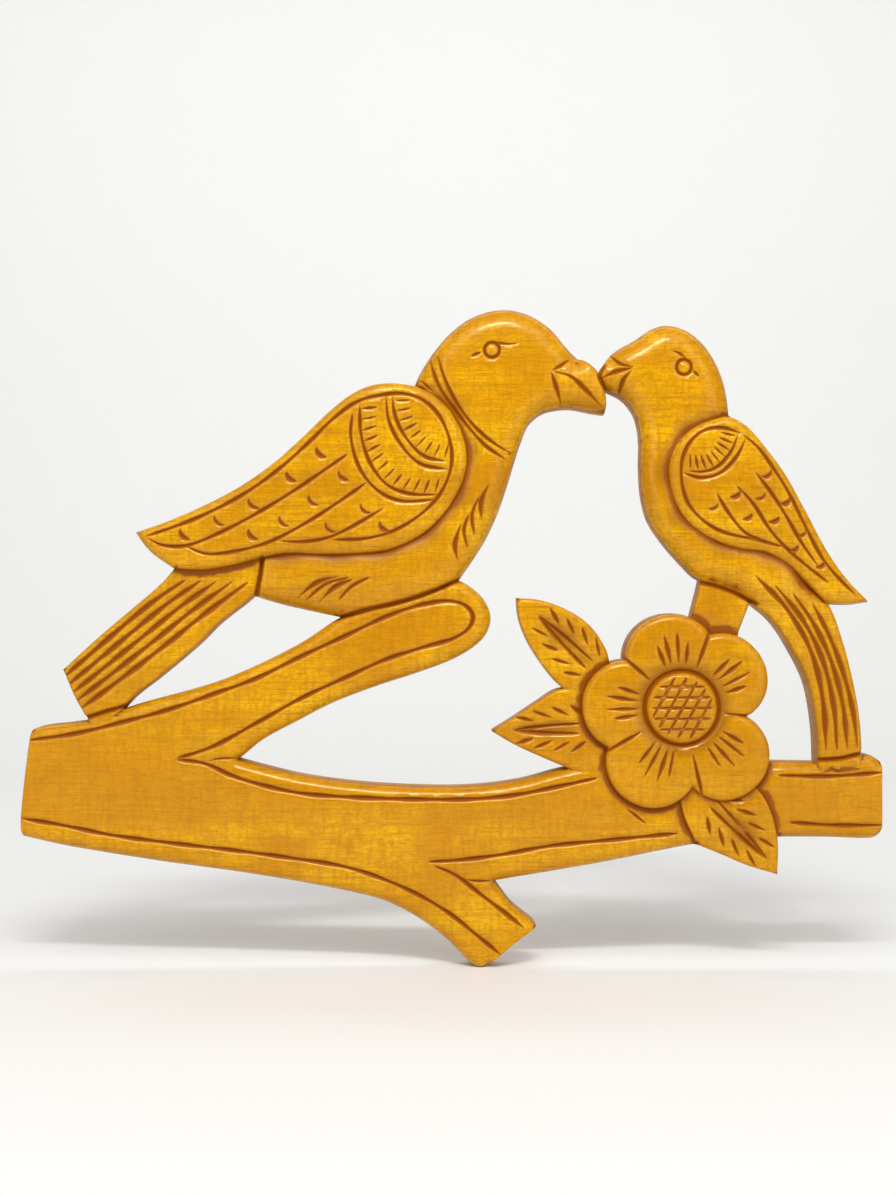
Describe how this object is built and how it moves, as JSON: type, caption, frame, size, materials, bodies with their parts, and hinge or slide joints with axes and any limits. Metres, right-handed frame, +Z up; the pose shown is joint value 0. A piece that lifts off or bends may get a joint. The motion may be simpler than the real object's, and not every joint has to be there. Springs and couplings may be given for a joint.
{
  "type": "carved wooden wall panel",
  "caption": "Carved wooden wall panel: songbirds beak to beak on a branch with a flower and leaves, fretsawn and carved in relief from one flat-backed board.",
  "frame": {"origin": "on the flat back that lies against the wall, straight above the centre of gravity", "axes": "+X along the panel's length to the small bird's side, +Y into the wall, +Z up"},
  "size_m": [0.38, 0.0198, 0.2912],
  "materials": {
    "lacquered_wood": "golden stain under clear satin lacquer"
  },
  "bodies": {
    "root": {"carved_board": "lacquered_wood"}
  },
  "joints": []
}
